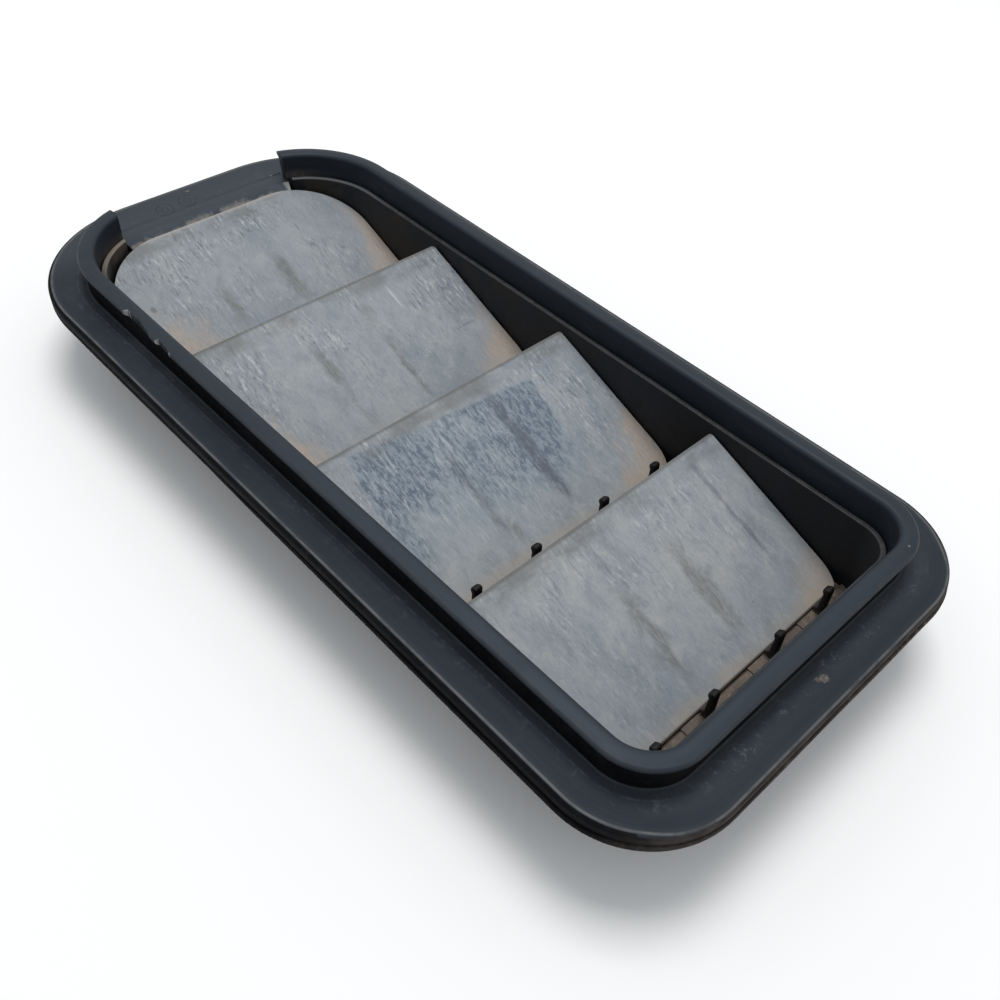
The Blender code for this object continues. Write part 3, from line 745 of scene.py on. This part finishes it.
    # The cut edges and the underside are darker
    color = p.mix(p.math("GREATER_THAN", side, 0.5), (0.105, 0.092, 0.078), color)
    relief = p.plus(p.times(wrinkle, p.linear(crease, 0.5, 0.3)), p.times(grain, 0.12),
                    p.times(blotch, 0.2))
    strength = 0.60 + 0.35 * AGED[bay]
    return p.finish(color, p.linear(cloud, 0.25, 0.42), relief, 0.00042, strength, Specular_IOR_Level=0.32)


def mineral():
    p = Paint("dried_mud")
    place = p.place()
    grit = p.noise(place, 1500, 4, 0.7, 0.0, 0.4, 0.6)
    return p.finish(p.mix(grit, (0.075, 0.066, 0.060), (0.16, 0.142, 0.128)), 0.85, grit, 0.0001, 0.8)


# ---------------------------------------------------------------- pieces

# Chips in the lip: start, end and depth, and the pale points: place and reach, all in mm
CHIPS = ((-69.5, -55.5, 1.25), (-53.5, -46.0, 0.75))
CHIP_POINTS = ((-68.6, 0.8), (-67.4, 0.35), (-53.0, 0.6), (-46.4, 0.4))


def chip_depth(x):
    """How far the broken lip is set back at a place along the near side."""
    for start, end, depth in CHIPS:
        part = (x / MM - start) / (end - start)
        if 0 < part < 1:
            ragged = 0.85 + 0.45 * noise.noise(Vector((x * 380, depth, 0)))
            ragged += 0.2 * noise.noise(Vector((x * 1100, 0, 1)))
            return max(0.0, depth * MM * ragged * min(1.0, 8 * part, 3 * (1 - part)))
    return 0.0


def flange_height(inset):
    """Height of the dished flange at a distance inwards from the rim line."""
    return FLANGE_DISH * (inset / (9.2 * MM)) ** 1.15


def chip_white(x):
    """Broken plastic is pale only at a few points."""
    return max(max(0.0, 1 - abs(x / MM - middle) / reach) for middle, reach in CHIP_POINTS) ** 0.5


def frame_section():
    points = [(-RIM_ROUND * 0.93, FLANGE_UNDER), (-RIM_ROUND, FLANGE_UNDER + 0.15 * MM)]
    points += arc(0.0, -RIM_ROUND, RIM_ROUND, 180, 90, 9)
    points += [(d * MM, flange_height(d * MM)) for d in (0.8, 1.8, 3.2, 4.6, 6.0, 7.2, 8.2, 8.9)]
    fillet = 0.5 * MM
    points += arc(WALL_OUTER - fillet, FLANGE_DISH + fillet, fillet, -90, 0, 6)
    under = 0.3 * MM
    points += [(WALL_OUTER, 2.5 * MM)]
    points += arc(WALL_OUTER - under, LIP_UNDER - 0.1 * MM - under, under, 0, 90, 4)
    edge = 0.85 * MM
    points += arc(LIP_REACH + edge, LIP_UNDER + edge, edge, 270, 90, 14)
    crest = (LIP_TOP - LIP_UNDER - 2 * edge)
    crown = ((9.9, 0.45), (10.6, 0.85), (11.2, 0.98))
    points += [(d * MM, LIP_UNDER + 2 * edge + crest * k) for d, k in crown]
    inner = 1.4 * MM
    points += arc(WALL_INNER_TOP - inner, LIP_TOP - inner, inner, 90, 0, 10)
    points += [(WALL_INNER_TOP + 0.05 * MM, 3.0 * MM), (WALL_INNER_FOOT, SLEEVE_FOOT)]
    points += [(SLEEVE_OUTER, SLEEVE_FOOT), (SLEEVE_OUTER, FLANGE_UNDER)]
    return points


def lip_shift(point, inset, height):
    if point.y < 0 and height > LIP_UNDER - 0.15 * MM:
        depth = chip_depth(point.x)
        if depth > 0 and inset < LIP_REACH + depth:
            return LIP_REACH + depth, height
    return inset, height


def drain_tongue():
    """The flange's surface runs in through the gap and slopes down to the first flap."""
    section = ((9.6, -2.4), (9.6, -1.21), (13.2, -1.19), (13.6, -1.23), (14.0, -1.42),
               (16.2, -2.48), (16.5, -2.75), (16.4, -3.3), (13.5, -2.4))
    bm = bmesh.new()
    rings = []
    for point, normal in stations(0.5 * MM):
        if point.x < 0 and -GAP_HALF < (point + normal * TONGUE_CREST).y < GAP_HALF + TONGUE_PAST:
            places = [(*(point + normal * inset * MM), PLANE + height * MM) for inset, height in section]
            rings.append([bm.verts.new(place) for place in places])
    bm.faces.new(rings[0])
    bm.faces.new(rings[-1])
    join_rings(bm, rings)
    return mesh_from_bmesh("tongue", bm)


def gap_cutter(near, low, high):
    """A block that opens the west end of the collar. Its +Y end leans, as the moulding does."""
    end, lean_in, lean_up = 30.0 * MM, 0.21, 0.12
    mesh = box_mesh("cut", [(-HALF_X + near, -HALF_X + 20 * MM, -GAP_HALF, GAP_HALF, low, high)])
    for vertex in mesh.vertices:
        if vertex.co.y > 0:
            inset = vertex.co.x + HALF_X
            height = vertex.co.z - PLANE
            vertex.co.y = end - lean_in * (inset - LIP_REACH) + lean_up * (7 * MM - height)
    return mesh


def shade_sides(obj, material):
    """The rim's sides, the collar's outer wall and the lip's underside take a second, darker material as
    painted shade.
    """
    obj.data.materials.append(material)
    x, y, z = read_vectors(obj.data.polygons, "center")
    normal_z = read_vectors(obj.data.polygons, "normal")[2]
    inset, _ = rim_place(x, y)
    height = z - PLANE
    rim_edge = np.where(x > HALF_X - 8 * MM, -0.62, -0.12) * MM
    rim = (inset < rim_edge) & (height < 0)
    wall = (9.3 * MM < inset) & (inset < 9.9 * MM) & (-1.1 * MM < height) & (height < LIP_UNDER)
    under = (normal_z < -0.5) & (height > -1 * MM)
    shaded = rim | (wall & (normal_z < 0.6)) | under
    obj.data.polygons.foreach_set("material_index", shaded.astype(np.int32))


def make_frame(material, shade_material):
    name = "frame_moulding"
    fine = (-72 * MM, -44 * MM, 0.25 * MM)
    body = new_object(name, sweep(name, frame_section(), 1.5 * MM, fine, lip_shift), material)
    tools = [(gap_cutter(4 * MM, 0.6 * MM, 12 * MM), "DIFFERENCE"),
             (gap_cutter(9.25 * MM, FLANGE_DISH - 0.02 * MM, 1.2 * MM), "DIFFERENCE"),
             (drain_tongue(), "UNION")]
    combined(body, tools, edge_round(0.10 * MM, 2, 62))
    rim_coordinates(smooth(body, 38))
    chip = body.data.attributes.new("chip", "FLOAT", "POINT")
    values = np.zeros(len(body.data.vertices), np.float32)
    for k, vertex in enumerate(body.data.vertices):
        x, y, z = vertex.co
        if y < 0 and z - PLANE > LIP_UNDER - 0.6 * MM and chip_depth(x) > 0.05 * MM:
            inset = HALF_Y + y
            if abs(inset - LIP_REACH - chip_depth(x)) < 0.12 * MM:
                values[k] = chip_white(x)
    chip.data.foreach_set("value", values)
    shade_sides(body, shade_material)
    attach(body, ROOT_BODY)
    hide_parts("frame")
    return body


def make_clip_guides(material):
    """Two upright rails on the sleeve beside each clip."""
    width, gap, proud, sink = 1.6 * MM, 0.3 * MM, 1.4 * MM, 0.1 * MM
    foot, top = -11 * MM, -5.6 * MM
    for k in range(1, 7):
        low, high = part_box(f"retaining_clip_{k}")
        middle = (low + high) / 2
        along = 0 if high.x - low.x > high.y - low.y else 1
        side = math.copysign(1, middle[1 - along])
        wall = (HALF_Y, HALF_X)[along] - SLEEVE_OUTER
        depth = sorted((side * (wall - sink), side * (wall + proud)))
        extents = []
        for start in (low[along] - gap - width, high[along] + gap):
            rail = [start, start + width]
            extents.append((*(rail + depth if along == 0 else depth + rail), foot, top))
        guide = new_object(f"clip_guides_{k}", box_mesh("guides", extents, 0.2 * MM), material)
        rim_coordinates(smooth(guide))
        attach(guide, ROOT_BODY)


def make_mud(material):
    """Small lumps of dried mud on the flange."""
    spots = ((120.2, 1.0, 1.15, 0.3), (119.4, -0.1, 0.7, 0.22), (-122.4, 0.2, 0.7, 0.18))
    for k, (x, y, radius, height) in enumerate(spots):
        bm = bmesh.new()
        bmesh.ops.create_icosphere(bm, subdivisions=4, radius=1.0)
        middle = Vector((x * MM, y * MM, PLANE + flange_height(HALF_X - abs(x) * MM)))
        size = Vector((radius, radius * 0.9, height)) * MM
        for vertex in bm.verts:
            swell = 1 + 0.28 * noise.noise(vertex.co * 1.7 + Vector((k, 0, 0)))
            swell += 0.12 * noise.noise(vertex.co * 5)
            vertex.co = middle + vertex.co * size * swell
        lump = new_object(f"dried_mud_{k + 1}", mesh_from_bmesh("mud", bm), material)
        smooth(lump, 60)
        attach(lump, ROOT_BODY)


def make_seal(material):
    """The gasket under the flange, which stands proud of the rim."""
    name = "seal_ring"
    top = FLANGE_UNDER - 0.12 * MM
    upper, lower = 0.35 * MM, 0.5 * MM
    section = arc(SEAL_OUTER + upper, top - upper, upper, 180, 90, 4)
    section += [(SEAL_INNER, top), (SEAL_INNER, SEAL_FOOT)]
    section += arc(SEAL_OUTER + lower, SEAL_FOOT + lower, lower, 270, 180, 4)

    def bulge(point, inset, height):
        """The seal stands a little proud of the rim, more towards +X."""
        if inset < 1 * MM:
            wave = noise.noise(Vector((point.x * 45, point.y * 45, height * 300)))
            proud = min(1.0, max(0.0, (point.x + 20 * MM) / (75 * MM)))
            inset += (0.14 * wave - 0.50 * proud) * MM
        return inset, height

    seal = new_object(name, sweep(name, section, shift=bulge), material)
    rim_coordinates(smooth(seal, 40))
    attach(seal, ROOT_BODY)
    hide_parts("perimeter_seal")


def seat_line(x):
    """Height above the flange plane of the underside of a seat grid, x from the flap's free edge."""
    below = FLAP_THICK / 2 + SEAT_GAP + SEAT_THICK
    return HINGES[0].z - PLANE + (FLAP_RUN - x) * math.tan(TILT) - below / math.cos(TILT)


def make_cassette(material):
    """The inner box: a ring notched at the open end, with cross walls, feet by the sleeve and ribs."""
    name = "cassette_box"
    foot, waist = -PLANE, -8 * MM
    edge = 0.30 * MM
    inner_edge = edge * 1.3
    section = arc(CASSETTE_OUTER + edge, CASSETTE_TOP - edge, edge, 180, 90, 4)
    section += arc(CASSETTE_INNER - inner_edge, CASSETTE_TOP - inner_edge, inner_edge, 90, 0, 5)
    section += [(CASSETTE_INNER, z) for z in (waist, foot)] + [(CASSETTE_OUTER, z) for z in (foot, waist)]
    cassette = new_object(name, sweep(name, section), material)
    start, half = -HALF_X + CASSETTE_OUTER - 1 * MM, GAP_HALF + 0.2 * MM
    notch = (start, start + 6 * MM, -half, half + TONGUE_PAST, -4.6 * MM, 2 * MM)
    tools = [(box_mesh("notch", [notch]), "DIFFERENCE")]
    wall, reach = 1.6 * MM, CAVITY_Y + 0.75 * MM
    wall_foot = HINGES[0].z - PLANE - 4.6 * MM
    extents = []
    for hinge in HINGES[1:]:
        x = hinge.x - FLAP_RUN + 0.5 * MM
        extents.append((x, x + wall, -reach, reach, wall_foot, seat_line(2.1 * MM) - SEAT_GAP))
    outer, foot_half = HALF_Y - CASSETTE_OUTER, 5 * MM
    for x in (-30 * MM, 30 * MM):
        for side in (-1, 1):
            y0, y1 = sorted((side * (outer - 0.3 * MM), side * (outer + 1.1 * MM)))
            z0, z1 = SLEEVE_FOOT - 2.3 * MM, SLEEVE_FOOT - 0.3 * MM
            extents.append((x - foot_half, x + foot_half, y0, y1, z0, z1))
    tools.append((box_mesh("walls", extents), "UNION"))
    width, depth = 2.4 * MM, 1.8 * MM
    for bay, hinge in enumerate(HINGES):
        first = RADIUS_WEST - CASSETTE_INNER if bay == 0 else 4 * MM
        last = FLAP_RUN - 4 * MM
        corners = ((first, SEAT_GAP), (first, depth), (last, depth), (last, SEAT_GAP))
        points = [(x, seat_line(x) - drop) for x, drop in corners]
        for side in (-1, 1):
            at = (hinge.x - FLAP_RUN, side * (CAVITY_Y + 0.5 * MM - width / 2), PLANE)
            tools.append((extruded("rib", points, width, at), "UNION"))
    combined(cassette, tools, edge_round(0.12 * MM, 2, 62))
    rim_coordinates(smooth(cassette, 38))
    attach(cassette, ROOT_BODY)
    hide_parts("cassette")


def flap_half_width(s, bay):
    """Half of the flap's width at a distance s from the hinge, with its corners rounded."""
    half = FLAP_HALF_Y
    radius = FLAP_CORNER if bay == 0 else 1.0 * MM
    over = s - (FLAP_LENGTH - radius)
    if over > 0:
        half -= radius - math.sqrt(max(0.0, radius * radius - over * over))
    foot = 8 * MM
    under = foot - BEAD - s
    if under > 0:
        half -= 0.45 * (foot - math.sqrt(max(0.0, foot * foot - under * under)))
    return half


def flap_faces(s):
    """Heights of the top and the underside at a distance s from the hinge, where the bead is."""
    sheet = FLAP_THICK / 2 - 0.02 * MM
    if s >= BEAD:
        return sheet, -sheet
    across = math.sqrt(max(0.0, 1 - (s / BEAD) ** 2))
    top = sheet if s > 0 else sheet * across
    return top, -max(BEAD * across, sheet if s > 0 else 0.0)


def make_flap(bay):
    """A thin rubber sheet on a fine grid, slightly wavy, with a bead along the hinge."""
    rows = [-BEAD * math.cos(math.pi / 2 * k / 6) for k in range(6)]
    rows += [BEAD * k / 6 for k in range(7)]
    rows += [FLAP_LENGTH * k / 76 for k in range(2, 77)]
    if bay == 0:
        straight = FLAP_LENGTH - FLAP_CORNER
        rows = [s for s in rows if s < straight]
        rows += [straight + FLAP_CORNER * math.sin(math.pi / 2 * k / 40) for k in range(41)]
    else:
        rows = rows[:-2] + [FLAP_LENGTH - d * MM for d in (1.0, 0.85, 0.6, 0.35, 0.15, 0.04, 0.0)]
    columns = [-1 + 2 * k / 140 for k in range(141)]
    bm = bmesh.new()
    layer = bm.verts.layers.float_vector.new("sheet")
    turn = Matrix.Translation(HINGES[bay]) @ Matrix.Rotation(TILT, 4, "Y")
    skins = []
    for side in (1, -1):
        skin = []
        for s in rows:
            half = flap_half_width(s, bay)
            line = []
            for c in columns:
                y = c * half
                wave = noise.noise(Vector((s * 60 + bay * 7, y * 40, 0))) * 0.12
                wave += noise.noise(Vector((s * 150, y * 420 + bay * 5, 3))) * 0.035 * RIPPLES[bay]
                calm = max(0.0, min(1.0, s / (10 * MM))) * min(1.0, (half - abs(y)) / (3 * MM) + 0.3)
                top = flap_faces(s)[0 if side > 0 else 1] + (wave * calm * MM if side > 0 else 0.0)
                top = min(top, FLAP_THICK / 2 + 0.05 * MM)
                vertex = bm.verts.new(turn @ Vector((-s, y, top)))
                vertex[layer] = (s, y, 1.0 if side > 0 else 0.0)
                line.append(vertex)
            skin.append(line)
        skins.append(skin)
    upper, lower = skins
    for skin in skins:
        for line, after in zip(skin, skin[1:]):
            for k in range(len(line) - 1):
                bm.faces.new((line[k], line[k + 1], after[k + 1], after[k]))
    for k in range(len(rows) - 1):
        for end in (0, -1):
            bm.faces.new((upper[k][end], upper[k + 1][end], lower[k + 1][end], lower[k][end]))
    for j in range(len(columns) - 1):
        for row in (0, -1):
            bm.faces.new((upper[row][j], upper[row][j + 1], lower[row][j + 1], lower[row][j]))
    return bm


def finish_flap(bay, material):
    """Puts a flap's sheet on the flap's own body."""
    name = f"flap_sheet_{bay + 1}"
    flap = new_object(name, mesh_from_bmesh(name, make_flap(bay)), material)
    smooth(flap, 42)
    node = f"flap_{bay + 1}"
    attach(flap, node)
    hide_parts(node)


def hook_outline():
    """An upright tab with a small nose at its top and a toe over the flap's bead, from the hinge line."""
    points = [(3.7, -0.9), (3.6, 4.0), (3.5, 8.2)]
    points += arc(2.75, 8.5, 0.7, 10, 120, 5)
    points += [(1.55, 8.5), (1.55, 7.9), (2.0, 7.0), (2.0, 2.2),
               (0.9, 1.55), (0.85, 1.1), (1.8, 0.5), (1.8, -0.9)]
    return [(x * MM, z * MM) for x, z in points]


def make_hook_bar(bay, material):
    """A bar with a trough for the flap's bead, four hooks and a low pad beside each."""
    name = f"hook_strip_{bay + 1}"
    node = f"hook_bar_{bay + 1}"
    low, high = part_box(node)
    hinge = HINGES[bay]
    floor, curb, edge_x = -1.2 * MM, -0.1 * MM, 1.25 * MM
    near = low.x - hinge.x
    far = high.x - hinge.x
    bottom = low.z - hinge.z
    section = [(near, bottom), (far, bottom), (far, curb - 0.15 * MM), (far - 0.15 * MM, curb),
               (edge_x + 0.3 * MM, curb), (edge_x, curb - 0.3 * MM), (edge_x, floor), (near, floor)]
    width = 2 * (CAVITY_Y - 0.3 * MM)
    bar = new_object(name, extruded(name, section, width, hinge), material)
    tools = []
    if bay == len(HINGES) - 1:
        outer, inner = CASSETTE_OUTER - 3 * MM, CASSETTE_INNER + 0.3 * MM
        top, foot = -10 * MM, -30 * MM
        section = [(outer, foot), (inner, foot), (inner, top), (outer, top)]
        tools.append((sweep("trim", section), "DIFFERENCE"))
    pad = [(edge_x - 0.2 * MM, curb - 0.5 * MM), (far - 0.6 * MM, curb - 0.5 * MM),
           (far - 0.8 * MM, curb + 0.3 * MM), (edge_x - 0.1 * MM, curb + 0.35 * MM)]
    pad_width, pad_shift = 6.4 * MM, 4.3 * MM
    for y in HOOK_PLACES:
        at = hinge + Vector((0, y, 0))
        tools.append((extruded("hook", hook_outline(), HOOK_WIDTH, at, 0.4 * MM, 3), "UNION"))
        at = hinge + Vector((0, y - pad_shift, 0))
        tools.append((extruded("pad", pad, pad_width, at, 0.1 * MM, 1), "UNION"))
    combined(bar, tools, edge_round(0.10 * MM, 2, 60))
    smooth(bar, 40)
    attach(bar, ROOT_BODY)
    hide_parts(node)


def dress(node, material, round_edges):
    """A CAD node keeps its shape and gets rounded edges and a material."""
    obj = nodes[node]
    obj.data.materials.clear()
    obj.data.materials.append(material)
    weld = obj.modifiers.new("weld", "WELD")
    weld.merge_threshold = 0.000001
    flat = obj.modifiers.new("flat", "DECIMATE")
    flat.decimate_type = "DISSOLVE"
    flat.angle_limit = math.radians(1)
    edge_round(round_edges, 2, 40)(obj)


# ---------------------------------------------------------------- build

black = frame_plastic()
make_frame(black, shaded_side_plastic())
make_clip_guides(black)
make_mud(mineral())
make_seal(seal_rubber())
make_cassette(cassette_plastic())
strip = hook_plastic()
for index in range(4):
    make_hook_bar(index, strip)
    finish_flap(index, flap_rubber(index))
grid = seat_plastic()
for index in range(1, 5):
    dress(f"seat_grid_{index}", grid, 0.25 * MM)
steel = spring_steel()
for index in range(1, 7):
    dress(f"retaining_clip_{index}", steel, 0.05 * MM)

# ---------------------------------------------------------------- stage


def make_floor():
    mesh = bpy.data.meshes.new("floor")
    mesh.from_pydata([(-4, -4, 0), (4, -4, 0), (4, 4, 0), (-4, 4, 0)], [], [(0, 1, 2, 3)])
    p = Paint("pale_floor")
    place = p.place()
    tone = p.noise(place, 3, 3, 0.5)
    color = p.mix(tone, (0.90, 0.90, 0.895), (0.92, 0.92, 0.915))
    floor = new_object("floor", mesh, p.finish(color, 0.9))


def make_light(name, place, target, size, power, color):
    data = bpy.data.lights.new(name, "AREA")
    data.shape = "RECTANGLE"
    data.size, data.size_y = size
    data.energy = power
    data.color = color
    light = bpy.data.objects.new(name, data)
    light.location = place
    light.rotation_euler = (Vector(target) - Vector(place)).to_track_quat("-Z", "Y").to_euler()
    bpy.context.scene.collection.objects.link(light)


def make_world():
    world = bpy.data.worlds.new("soft_studio")
    bpy.context.scene.world = world
    world.use_nodes = True
    background = world.node_tree.nodes["Background"]
    background.inputs["Color"].default_value = (0.93, 0.965, 1.0, 1.0)
    background.inputs["Strength"].default_value = 0.66


def make_camera():
    data = bpy.data.cameras.new("camera")
    data.sensor_width = 36.0
    data.lens = 36.93
    data.clip_start = 0.01
    camera = bpy.data.objects.new("camera", data)
    camera.location = (0.1530, -0.1379, PLANE + 0.17549)
    camera.rotation_euler = Euler([math.radians(a) for a in (43.33, -3.58, 46.66)])
    bpy.context.scene.collection.objects.link(camera)
    bpy.context.scene.camera = camera


make_floor()
make_world()
make_light("key", (-0.14, 0.19, 1.32), (0, 0, 0.03), (0.6, 0.6), 10.0, (1.0, 0.99, 0.975))
make_camera()
bpy.context.scene.view_settings.view_transform = "Standard"
bpy.context.scene.view_settings.look = "None"
